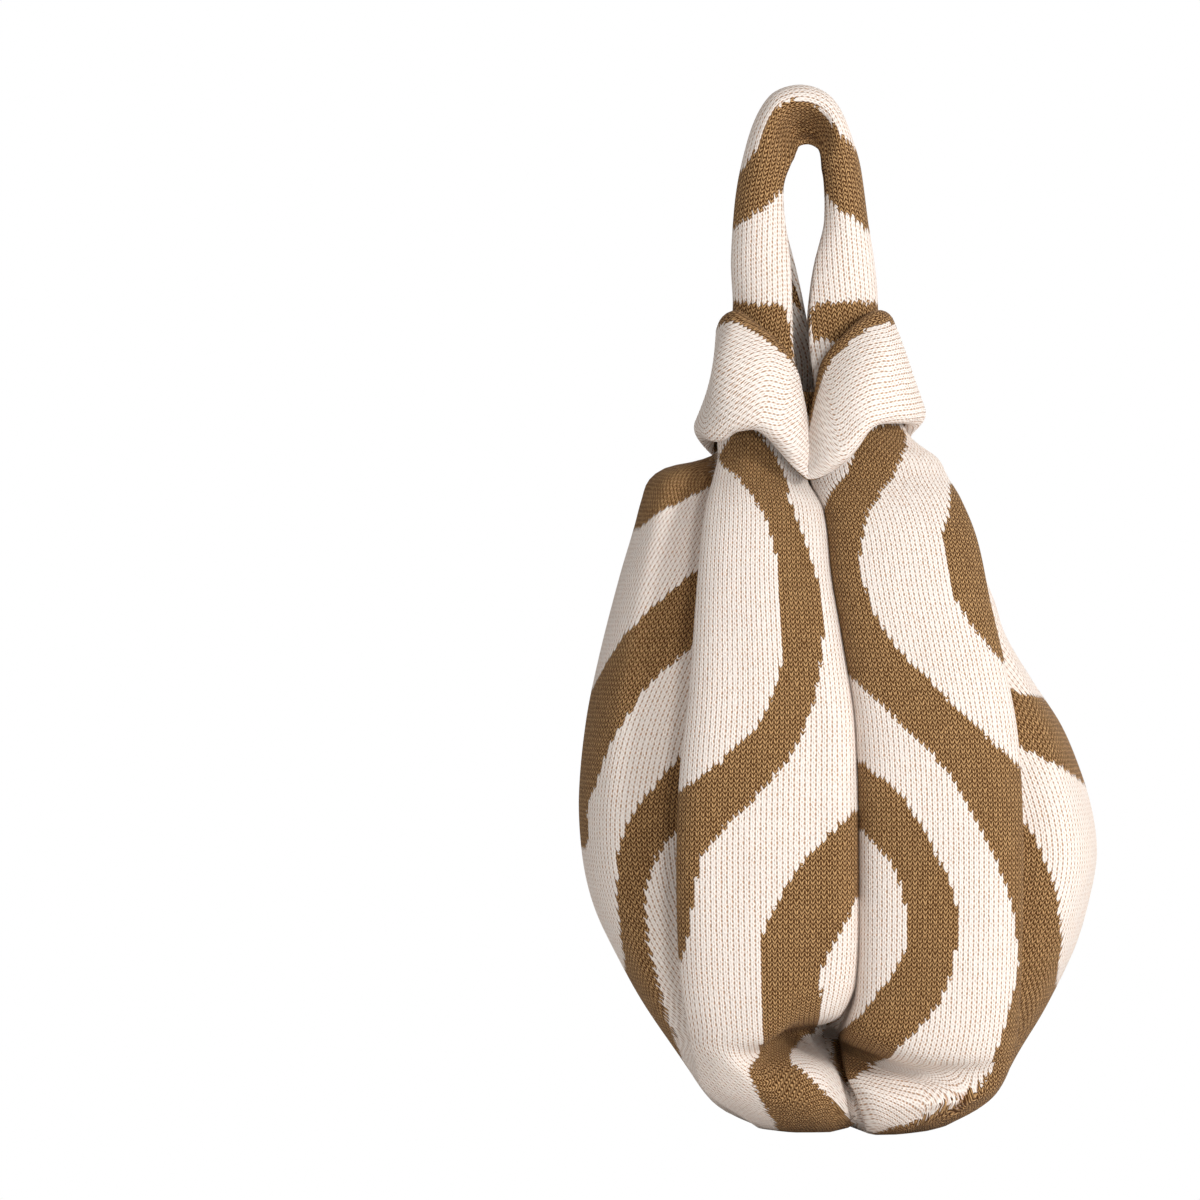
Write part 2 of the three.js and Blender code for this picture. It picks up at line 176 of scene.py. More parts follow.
def body_controls(h):
    """The corners of each section, from the left edge round the front and back: x, y, z, the
    number of steps to the next one, and how far it belongs to the tucked-in lower end."""
    left = smooth_column(LEFT, "h", "x", h)
    shoulder = smooth_column(LEFT, "h", "z", h)
    right = smooth_column(RIGHT, "h", "x", h)
    left_ridge = smooth_column(LEFT_RIDGE, "h", "x", h)
    right_ridge = smooth_column(RIGHT_RIDGE, "h", "x", h)
    fold = smooth_column(FOLD, "h", "x", h)
    deep = smooth_column(FOLD, "h", "deep", h)
    gap = smooth_column(FOLD, "h", "gap", h)
    front = smooth_column(DEPTH, "h", "front", h)
    back = smooth_column(DEPTH, "h", "back", h)
    left_fold = smooth_column(DEPTH, "h", "left_fold", h)
    right_fold = smooth_column(DEPTH, "h", "right_fold", h)
    back_fold = smooth_column(DEPTH, "h", "back_fold", h)
    lobe = np.where(h > LOBE[0]["h"], front, smooth_column(LOBE, "h", "front", h))
    rise = ease(h, 8, 34) * (1 - ease(h, 52, 100))
    wide = right - left
    middle = (left + right) / 2
    lip = np.minimum(deep / 14, 1)
    left_tucked = ease(left_fold, 3, 12)
    right_tucked = ease(right_fold, 3, 10)
    left_valley = front + LEFT_PLEAT_BEHIND + np.maximum(left_fold, LEAST_PLEAT)
    right_valley = front + RIGHT_PLEAT_BEHIND + np.maximum(right_fold, LEAST_PLEAT)
    left_bulge = mix((left_valley + SIDE_Y) / 2 + 2, front * 0.6 + 9, left_tucked)
    right_bulge = mix((right_valley + SIDE_Y) / 2, front * 0.62 + 6, right_tucked)
    controls = []

    def put(x, y, z, steps, share=0.0):
        controls.append((x + 0 * h, y + 0 * h, z + 0 * h, steps, share))

    def on_front(x, behind, share, raised, steps):
        y = mix(front, lobe, share) + behind
        put(x, y, h + raised * rise, steps, share)

    # The left bulge, and the left panel from its outer edge to the lip of the fold.
    put(left, SIDE_Y, shoulder, 2)
    put(left * 0.68 + left_ridge * 0.32, left_bulge, shoulder * 0.66 + h * 0.34, 2)
    put(left_ridge + 5 * left_tucked, left_valley, h, 2)
    put(left_ridge, front + LEFT_EDGE_BEHIND, h, 2)
    on_front(left_ridge + 7, 3.5, 0, 0, 2)
    panel_end = fold - LIP_WIDTH - gap
    hollow = np.exp(-(((h - LEDGE_HEIGHT) / HOLLOW_HALF) ** 2))
    on_front(mix(left_ridge, panel_end, 0.4), 0, 0.15, -3, 2)
    on_front(mix(left_ridge, panel_end, 0.6), 0, 0.62, -3.5, 1)
    on_front(mix(left_ridge, panel_end, 0.8), 1.4 * lip + 7 * hollow, 0.95, 2.8, 2)

    # The fold between the panels: down its left side to the floor, and up its right side.
    inside = LIP_DEPTH * lip
    bottom = inside + deep
    skew = 3 * lip * (1 - ease(h, 26, 44))
    turn = np.minimum(2.4, deep * 0.5)
    on_front(panel_end, 3.5 * lip + skew + 15 * hollow, 1, 4, 2)
    on_front(fold - gap, inside + skew + 12 * hollow, 1, 4, 1)
    on_front(fold - gap * 0.9, bottom - turn, 1, 3, 1)
    on_front(fold, bottom, 1, 2, 1)
    on_front(fold + gap * 0.9, bottom - turn, 1, 0, 1)
    on_front(fold + gap, inside - skew * 0.6 + 8 * hollow, 1, -2, 2)

    # The right panel to its outer edge, and the right bulge.
    on_front(fold + LIP_WIDTH + gap, 3.5 * lip - skew * 0.6 + 6 * hollow, 1, -5, 3)
    on_front((right_ridge + fold) * 0.5, 0, 0.7, -12, 2)
    on_front(right_ridge - 8, 4.5, 0.05, -8.5, 2)
    put(right_ridge, front + RIGHT_EDGE_BEHIND, h, 2)
    put(right_ridge - 5 * right_tucked, right_valley, h, 2)
    put(right * 0.6 + right_ridge * 0.4, right_bulge, h, 2)
    put(right, SIDE_Y, h, 2)

    # The back, with one soft fold down its middle.
    put(right - wide * 0.09, back * 0.64, h, 2)
    put(right - wide * 0.28, back * 0.96, h, 2)
    put(middle + 9, back * 0.98, h, 1)
    put(middle, back - back_fold, h, 1)
    put(middle - 9, back * 0.98, h, 2)
    put(left + wide * 0.28, back * 0.96, h * 0.7 + shoulder * 0.3, 2)
    put(left + wide * 0.09, back * 0.64, h * 0.4 + shoulder * 0.6, 2)
    return controls


def round_curve(controls):
    """Smooth closed curves through the controls of all sections at once, an array of rows by steps
    of x, y, z and share, and the step at which each control lies."""
    corners = np.stack([np.stack(control[:3], axis=-1) for control in controls])
    count = len(controls)
    out = []
    starts = []
    for i in range(count):
        p0, p1, p2, p3 = (corners[(i + k) % count] for k in (-1, 0, 1, 2))
        d0, d1, d2 = (
            np.maximum(np.linalg.norm(b - a, axis=-1, keepdims=True), 1e-4) ** 0.5
            for a, b in ((p0, p1), (p1, p2), (p2, p3))
        )
        m1 = ((p1 - p0) / d0 - (p2 - p0) / (d0 + d1) + (p2 - p1) / d1) * d1
        m2 = ((p2 - p1) / d1 - (p3 - p1) / (d1 + d2) + (p3 - p2) / d2) * d1
        starts.append(len(out))
        steps = controls[i][3] * STEPS_FINER
        for t in np.arange(steps) / steps:
            cube = -3 * p1 + 3 * p2 - 2 * m1 - m2
            point = p1 + m1 * t + cube * t**2 + (2 * p1 - 2 * p2 + m1 + m2) * t**3
            share = mix(controls[i][4], controls[(i + 1) % count][4], t)
            out.append(np.concatenate([point, np.full_like(point[:, :1], share)], axis=1))
    return np.stack(out, axis=1), starts


def finer_heights(heights):
    out = []
    for above, below in zip(heights, heights[1:]):
        count = max(1, round((above - below) / ROW_SPACING))
        out.extend(np.linspace(above, below, count, endpoint=False))
    return np.array(out + [heights[-1]], float)


def sheet_normals(outer, closed):
    """Which way the outer face of a grid of points looks. A closed grid joins its last column to
    its first."""
    if closed:
        across = np.roll(outer, -1, axis=1) - np.roll(outer, 1, axis=1)
    else:
        ends = np.clip(np.arange(outer.shape[1] + 2) - 1, 0, outer.shape[1] - 1)
        padded = outer[:, ends]
        across = padded[:, 2:] - padded[:, :-2]
    step = np.diff(outer, axis=0)
    step /= np.linalg.norm(step, axis=-1, keepdims=True) + 1e-9
    down = np.concatenate([step, step[-1:]]) + np.concatenate([step[:1], step])
    normal = np.cross(down, across)
    return normal / (np.linalg.norm(normal, axis=-1, keepdims=True) + 1e-9)


def arc_length(points, axis):
    """The length along a grid of points from its first row or column."""
    step = np.linalg.norm(np.diff(points, axis=axis), axis=-1)
    first = np.zeros_like(np.take(step, [0], axis=axis))
    return np.concatenate([first, np.cumsum(step, axis=axis)], axis=axis)


def face_corners(grid):
    """The values of a grid at the four corners of each of its faces."""
    return np.stack([grid[:-1, :-1], grid[1:, :-1], grid[1:, 1:], grid[:-1, 1:]], axis=2)


STEEPEST = 6.0


def stripe_field(depth, u, v):
    """Each place's depth inside its stripe, and how it changes for each stitch across and along."""
    depth_r, depth_c = np.gradient(depth)
    u_r, u_c = np.gradient(u)
    v_r, v_c = np.gradient(v)
    area = u_c * v_r - u_r * v_c
    area = np.where(np.abs(area) < 1e-3, 1e-3, area)
    along_u = (depth_c * v_r - depth_r * v_c) / area
    along_v = (depth_r * u_c - depth_c * u_r) / area
    along_u = np.clip(along_u, -STEEPEST, STEEPEST)
    along_v = np.clip(along_v, -STEEPEST, STEEPEST)
    return np.stack([depth, along_u, along_v], axis=-1)


def outline_depth(outline, x, z):
    """How deep each place lies inside a closed outline with rounded corners, less than nothing
    outside it. The outline is a row of points x,z."""
    points = np.array([pair.split(",") for pair in outline.split()], float)
    for _ in range(2):
        ahead = np.roll(points, -1, axis=0)
        points = np.stack([points * 0.75 + ahead * 0.25, points * 0.25 + ahead * 0.75], axis=1)
        points = points.reshape(-1, 2)
    nearest = np.full(x.shape, 1e9)
    within = np.zeros(x.shape, bool)
    for (ax, az), (bx, bz) in zip(points, np.roll(points, -1, axis=0)):
        ex, ez = bx - ax, bz - az
        t = np.clip(((x - ax) * ex + (z - az) * ez) / (ex * ex + ez * ez + 1e-12), 0, 1)
        nearest = np.minimum(nearest, (x - ax - t * ex) ** 2 + (z - az - t * ez) ** 2)
        if ez != 0:
            crosses = (az > z) != (bz > z)
            within ^= crosses & (x < ax + ex * (z - az) / ez)
    return np.where(within, 1.0, -1.0) * np.sqrt(nearest)


def stripes(outlines, x, z):
    return np.max([outline_depth(outline, x, z) for outline in outlines], axis=0)


def seen_from_front(points):
    """Where each place is seen from the front, on the plane through the middle of the bag."""
    near = -EYE[1] / (points[..., 1] - EYE[1])
    x = (points[..., 0] - EYE[0]) * near + EYE[0]
    z = (points[..., 2] - EYE[2]) * near + EYE[2]
    return x, z


FAR_FROM_STRIPES = -20.0


def knit_mesh(name, rings, uv, stripe, ends):
    """A closed mesh of rings of points, each joined to the next, with stitch coordinates and stripe
    depth at every corner. ends closes the first and last ring with lists of further faces."""
    rows, around = rings.shape[:2]
    index = np.arange(rows * around).reshape(rows, around)
    index = np.concatenate([index, index[:, :1]], axis=1)
    faces = face_corners(index).reshape(-1, 4).tolist()
    points = rings.reshape(-1, 3)
    extra_points, extra_faces = ends(index)
    if len(extra_points):
        points = np.concatenate([points, extra_points])
    mesh = bpy.data.meshes.new(name)
    mesh.from_pydata((points / 1000.0).tolist(), [], faces + extra_faces)
    loops = len(mesh.loops)
    corner_of = np.empty(loops, int)
    mesh.loops.foreach_get("vertex_index", corner_of)
    flat = np.stack([points[corner_of, 0] / WALE, points[corner_of, 1] / COURSE], axis=-1)
    flat[: len(faces) * 4] = uv.reshape(-1, 2)
    layer = mesh.uv_layers.new(name="stitches")
    layer.data.foreach_set("uv", flat.astype(np.float32).ravel())
    in_stripe = np.zeros((loops, 3))
    in_stripe[:, 0] = FAR_FROM_STRIPES
    in_stripe[: len(faces) * 4] = stripe.reshape(-1, 3)
    attribute = mesh.attributes.new("stripe", "FLOAT_VECTOR", "CORNER")
    attribute.data.foreach_set("vector", in_stripe.astype(np.float32).ravel())
    mesh.shade_smooth()
    mesh.validate()
    piece = bpy.data.objects.new(name, mesh)
    bpy.context.collection.objects.link(piece)
    return piece


RIM_STEPS = 3


def round_rim(outer_edge, inner_edge, away):
    """Points on a half circle from the outer edge of a sheet to its inner edge."""
    middle = (outer_edge + inner_edge) / 2
    half = (outer_edge - inner_edge) / 2
    size = np.linalg.norm(half, axis=-1, keepdims=True)
    angles = [math.pi * (k + 1) / (RIM_STEPS + 1) for k in range(RIM_STEPS)]
    return [middle + half * math.cos(a) + away * size * math.sin(a) for a in angles]


# The brown stripes, each an outline of points x,z as it is seen from the front.
NECK_BAND = "-34,332 10,332 10,316 -34,316"
LEFT_PANEL_STRIPES = [
    "-47,311 -51,304 -54,299 -52,295 -49,293 -42,287 -37,279 -33,273 -30,264 -27,253 -26,235"
    " -24,217 -26,203 -30,190 -36,179 -46,169 -58,158 -67,153 -75,147 -79,101 -74,79 -70,72"
    " -66,88 -63,115 -59,124 -45,139 -39,145 -21,164 -10,190 -6,217 -8,240 -11,250 -14,260"
    " -18,271 -22,280 -24,293 -29,301 -35,310 -44,315",
    "14,146 9,142 -5,130 -17,118 -28,99 -34,86 -35,70 -35,57 -34,43 -34,34 -40,26 -38,19 -33,9"
    " -27,0 -25,-10 14,-10 9,-4 8,1 2,8 -5,14 -13,23 -22,29 -21,35 -10,42 -7,52 -8,57 -8,63"
    " -7,72 3,90 9,103 14,110",
    NECK_BAND,
    # The last outline browns the floor of the fold above the hollow between the lobes. It is partly the
    # brown yarn there and partly painted shade that darkens the hollow.
    "-8,47 3,47 8,36 10,20 6,16 1,22 -3,31",
]
RIGHT_PANEL_STRIPES = [
    "7,308 7,300 4,291 0.5,287 -3,284 -6,280 -9,253 -6,213 4,202 19,188 45,164 57,146 68,124"
    " 78,101 81,74 79,64 76,51 73,40 69,29 68,24 63,19 57,12 50,10 45,7 37,4 29,1 22,-1 12,-4"
    " 12,-10 103,-10 103,146 86,157 77,164 50,190 23,217 13,235 12,242 9,250 10,256 12,267"
    " 13,274 17,280 23,288 27,295 31,305 30,311 23,315",
    "50,291 50,280 49,270 46,266 48,256 49.8,244 52,235 61,222 74,206 90,199 90,291",
    "4,167 10,163 21,155 30,146 39,132 45,119 50,110 54,92 52,74 48,61 41,48 28,37 23,30 11,28"
    " 4,30 0,37 0,42 4,45 10,50 19,61 28,74 32,88 30,101 25,115 19,124 11,132 4,137",
    "-1,41 11,29 19,27 11,25 4,19 0,22 -4,34",
    NECK_BAND,
]
LEFT_BULGE_STRIPES = [
    "-54,306 -54,289 -58,285 -66,281 -76,276 -83,272 -91,265 -106,260 -106,306",
    "-55,252 -63,248 -71,242 -80,235 -87,228 -95,220 -102,210 -107,200 -113,190 -120,182"
    " -120,124 -111,124 -112,137 -111,146 -108,153 -104,164 -101,173 -95,181 -89,191 -84,198"
    " -76,205 -66,214 -55,221",
    "-62,173 -70,166 -77,158 -84,150 -92,139 -97,128 -99,115 -98,92 -95,74 -95,60 -92,46"
    " -84,30 -66,22 -70,32 -74,42 -77,51 -80,64 -83,74 -86,92 -85,110 -79,124 -71,133 -62,140",
]
RIGHT_BULGE_STRIPES = [
    "72,197 78,195 95,190 103,190 121,164 115,146 110,153 99,161 92,164 80,170 72,173",
    "72,146 82,139 90,124 97,106 100,88 99,74 97,66 98,58 104,53 104,41 99,21 77,-15 10,-15 14,0"
    " 54,16 72,39",
]
# The back's stripes are drawn on its own plane, and meet those of the front at both sides.
BACK_STRIPES = [
    "-60,310 -100,310 -100,262 -88,262 -66,252 -40,232 -16,206 8,182 34,164 66,154 96,153"
    " 125,152 125,190 104,189 80,194 52,207 26,226 2,250 -22,272 -40,290 -48,300",
    "-125,190 -98,184 -80,168 -64,146 -54,120 -48,92 -42,64 -32,40 -16,20 0,0 0,-10 -44,-10"
    " -50,8 -60,19 -125,22 -125,63 -102,66 -86,78 -82,92 -92,110 -108,124 -125,132",
    "125,58 104,58 92,60 78,67 62,84 47,106 31,124 12,122 4,104 8,78 18,52 34,30 42,14 38,0"
    " 36,-10 125,-10",
]

heights = finer_heights(NECK_TO_BASE)
sections, corner_at = round_curve(body_controls(heights))
outer = sections[..., :3]
tucked_in = sections[..., 3]
outer[-1, :, 2] = 0.0
outer[0, :, 2] = NECK_HEIGHT
lift_x, lift_z = np.array(BASE_LIFT, float).T
lifted = np.interp(outer[..., 0], lift_x, lift_z) * (1 - ease(heights, 0, LIFTED_BELOW))[:, None] ** 2
outer[..., 2] += lifted * ease(-outer[..., 1], -30, 20)
normals = sheet_normals(outer, closed=True)
foot_ring = normals[-1] * (1.0, 1.0, 0.0)
foot_ring /= np.linalg.norm(foot_ring, axis=-1, keepdims=True)
normals[-1] = (foot_ring + (0.0, 0.0, -1.0)) / math.sqrt(2.0)
inner = outer - normals * CLOTH

# Stitches: a wale runs down the middle of each panel and of the back, and the others follow it.
COUNTED_FROM = 122
PANEL_CLOTH = 60
NARROWEST_SIDE = 30
RIGHT_PANEL_EXTRA = 10
around = np.concatenate([outer, outer[:, :1]], axis=1)
across_arc = arc_length(around, axis=1)
down_arc = -arc_length(around, axis=0)


def row_at_height(height):
    return int(np.argmin(np.abs(heights - height)))


middle_row = row_at_height(COUNTED_FROM)
down_arc = down_arc - down_arc[middle_row : middle_row + 1]
steps_around = outer.shape[1]
# The steps at which the controls of the same names lie.
left_valley_at, left_panel_at, fold_floor_at, right_panel_at = (corner_at[k] for k in (2, 5, 11, 15))
right_panel_edge_at, right_valley_at, right_edge_at = (corner_at[k] for k in (16, 18, 20))
back_middle_at = corner_at[24]
share_around = np.concatenate([tucked_in, tucked_in[:, :1]], axis=1)
row_height = heights[:, None] + 0 * across_arc


def eased_pitch(width):
    """A narrow place holds fewer stitches than a wide one, and they are drawn closer together."""
    return np.sqrt(width.max() / width)[:, None] / WALE


girth = across_arc[:, -1:]
from_back = across_arc - across_arc[:, back_middle_at : back_middle_at + 1]
side_width = girth[:, 0] / 2 - PANEL_CLOTH
side_pitch = eased_pitch(np.maximum(side_width, NARROWEST_SIDE))
left_panel_width = outer[:, fold_floor_at, 0] - outer[:, left_valley_at, 0]
left_pitch = eased_pitch(left_panel_width)
right_panel_width = outer[:, right_valley_at, 0] - outer[:, fold_floor_at, 0]
right_pitch = eased_pitch(right_panel_width + RIGHT_PANEL_EXTRA)
u_left = (across_arc - across_arc[:, left_panel_at : left_panel_at + 1]) * left_pitch
u_right = (across_arc - across_arc[:, right_panel_at : right_panel_at + 1]) * right_pitch
v_plain = down_arc / COURSE

# Below the left panel the wales bend to the right, and run down to the crease between the lobes.
BEND_HEIGHT = 75
MOST_LEAN = math.radians(38)
below = np.maximum(down_arc[row_at_height(BEND_HEIGHT)][None] - down_arc, 0)
lean = MOST_LEAN * ease(below, 5, 60)
lean_step = np.diff(below, axis=0, prepend=0)
u_left = u_left - np.cumsum(np.tan(lean) * lean_step, axis=0) / WALE
from_panel = (across_arc - across_arc[:, left_panel_at : left_panel_at + 1]) / COURSE
v_left = v_plain + np.cumsum((1 - np.cos(lean)) * lean_step, axis=0) / COURSE
v_left = v_left - from_panel * np.sin(lean)

# Under the right panel's ledge the wales lie nearly level, and turn upright again to the right.
PIVOT_HEIGHT = 30
LOBE_TURN = math.radians(-66)
pivot_row = row_at_height(PIVOT_HEIGHT)
pivot_arc = across_arc[:, right_panel_edge_at : right_panel_edge_at + 1]
ds = across_arc - pivot_arc
dt = down_arc - down_arc[pivot_row : pivot_row + 1, right_panel_edge_at : right_panel_edge_at + 1]
spread = 14 * (1 - share_around)
under_ledge = 1 - ease(row_height, LEDGE_HEIGHT - spread, LEDGE_HEIGHT + 4 + spread)
turned = LOBE_TURN * under_ledge * ease(share_around, 0, 0.75)
at_pivot = pivot_arc - across_arc[:, right_panel_at : right_panel_at + 1]
lobe_u = (np.cos(turned) * ds + np.sin(turned) * dt + at_pivot) / WALE
lobe_v = (-np.sin(turned) * ds + np.cos(turned) * dt) / COURSE
lobe_v = lobe_v + v_plain[pivot_row : pivot_row + 1, right_panel_edge_at : right_panel_edge_at + 1]
in_lobe = ease(turned, 0, math.radians(-8))
u_right = mix(u_right, lobe_u, in_lobe)
v_right = mix(v_plain, lobe_v, in_lobe)

front_x, front_z = seen_from_front(around)
step_around = np.arange(steps_around + 1)[None] + 0 * row_height
left_side_depth = np.where(
    step_around >= back_middle_at,
    stripes(BACK_STRIPES, around[..., 0], around[..., 2]),
    stripes(LEFT_BULGE_STRIPES, front_x, front_z),
)
left_side_depth[:, -1] = left_side_depth[:, 0]
right_side_depth = np.where(
    step_around > right_edge_at,
    stripes(BACK_STRIPES, around[..., 0], around[..., 2]),
    stripes(RIGHT_BULGE_STRIPES, front_x, front_z),
)
regions = [
    (0, left_valley_at, (from_back + girth) * side_pitch, v_plain, left_side_depth),
    (left_valley_at, fold_floor_at, u_left, v_left, stripes(LEFT_PANEL_STRIPES, front_x, front_z)),
    (fold_floor_at, right_valley_at, u_right, v_right, stripes(RIGHT_PANEL_STRIPES, front_x, front_z)),
    (right_valley_at, back_middle_at, from_back * side_pitch, v_plain, right_side_depth),
    (back_middle_at, steps_around, from_back * side_pitch, v_plain, left_side_depth),
]
body_uv = []
body_stripe = []
for start, end, u, v, depth in regions:
    field = stripe_field(depth, u, v)
    inner_field = field[::-1] * (-1.0, 1.0, -1.0)
    rim_field = np.repeat(field[:1], RIM_STEPS, axis=0)
    whole_field = np.concatenate([inner_field, rim_field, field])
    face_uv = np.stack([u, v], axis=-1)
    rim_uv = np.repeat(face_uv[:1], RIM_STEPS, axis=0)
    whole_uv = np.concatenate([face_uv[::-1], rim_uv, face_uv])
    body_uv.append(face_corners(whole_uv[:, start : end + 1]))
    body_stripe.append(face_corners(whole_field[:, start : end + 1]))
away = outer[0] - outer[1]
away /= np.linalg.norm(away, axis=-1, keepdims=True)
neck_rim = np.stack(round_rim(inner[0], outer[0], away))
rings = np.concatenate([inner[::-1], neck_rim, outer])


def base_faces(index):
    """The flat base and the inner floor above it, each a fan about its middle."""
    centre = outer[-1].mean(axis=0)
    centres = np.array([centre, centre + (0.0, 0.0, CLOTH)])
    under = index.size - index.shape[0]
    first, last = index[0], index[-1]
    fans = [[int(last[k]), under, int(last[k + 1])] for k in range(len(last) - 1)]
    fans += [[int(first[k + 1]), under + 1, int(first[k])] for k in range(len(first) - 1)]
    return centres, fans


body = knit_mesh(
    "knit_body", rings, np.concatenate(body_uv, axis=1), np.concatenate(body_stripe, axis=1), base_faces
)


def reckon(tree, operation, *values):
    """A math node with its sockets linked or set, and its output."""
    node = tree.nodes.new("ShaderNodeMath")
    node.operation = operation
    for socket, value in zip(node.inputs, values):
        if isinstance(value, bpy.types.NodeSocket):
            tree.links.new(value, socket)
        else:
            socket.default_value = value
    return node.outputs[0]


def blend_colour(tree, share, a, b):
    node = tree.nodes.new("ShaderNodeMix")
    node.data_type = "RGBA"
    for socket, value in ((node.inputs[0], share), (node.inputs[6], a), (node.inputs[7], b)):
        if isinstance(value, bpy.types.NodeSocket):
            tree.links.new(value, socket)
        else:
            socket.default_value = value
    return node.outputs[2]


def around_middle(tree, chance, middle, spread):
    """A random value from 0 to 1 as one that lies evenly about a middle."""
    return reckon(tree, "MULTIPLY_ADD", chance, spread, middle - spread / 2)


def squared(tree, value, half):
    """The square of a value, counted in half sizes."""
    return reckon(tree, "MULTIPLY", reckon(tree, "MULTIPLY", value, value), 1 / half**2)


def soft_line(tree, across, half):
    """1 along a line, fading away beyond half its width."""
    return reckon(tree, "EXPONENT", reckon(tree, "MULTIPLY", squared(tree, across, half), -1.0))


def soft_spot(tree, across, along, half_sizes):
    """1 in the middle of an oval spot, fading away beyond half its size."""
    far = reckon(tree, "ADD", squared(tree, across, half_sizes[0]), squared(tree, along, half_sizes[1]))
    return reckon(tree, "EXPONENT", reckon(tree, "MULTIPLY", far, -1.0))


CREAM = (0.935, 0.872, 0.815, 1.0)
CREAM_IN_PAINTED_SHADE = (0.50, 0.30, 0.185, 1.0)
BROWN = (0.66, 0.39, 0.172, 1.0)
BROWN_IN_PAINTED_SHADE = (0.07, 0.026, 0.006, 1.0)
# How many courses a stitch's leg would rise over a whole wale. Each leg spans half of one.
LEG_RISE = 1.8
# Half sizes of the holes in the knit, across in wales and along in courses, and how dark they are
# painted. The dark is painted shade; in the cream it is also the brown back yarn seen through the
# holes.
HOLE_BETWEEN_WALES = (0.17, 0.30)
HOLE_IN_STITCH = (0.11, 0.28)
HOLE_IN_STITCH_DARK = 0.6
# The groove between the wales has a half width and a painted shade. After it comes the painted shade on
# the lower part of each leg, between the courses.
LINE_BETWEEN_WALES = 0.10
LINE_DARK = 0.24
BETWEEN_COURSES_DARK = 0.20
# The brown yarn gets more painted shade in its hollows than the cream one.
HOLES_MORE_IN_BROWN = 0.25
BETWEEN_COURSES_MORE_IN_BROWN = 1.1
FUZZ = 0.25
# The spread of what is uneven: a stitch's place across and along, the edge of a stripe, the painted
# shade in the holes, and the yarn's light from fibre to fibre, stitch to stitch and part to part.
SPREAD_ACROSS = 0.3
SPREAD_ALONG = 0.7
SPREAD_OF_EDGE = 0.5
SPREAD_OF_HOLES = 0.9
SPREAD_OF_FIBRES = 0.34
SPREAD_OF_STITCHES = 0.10
SPREAD_OF_PARTS = 0.12


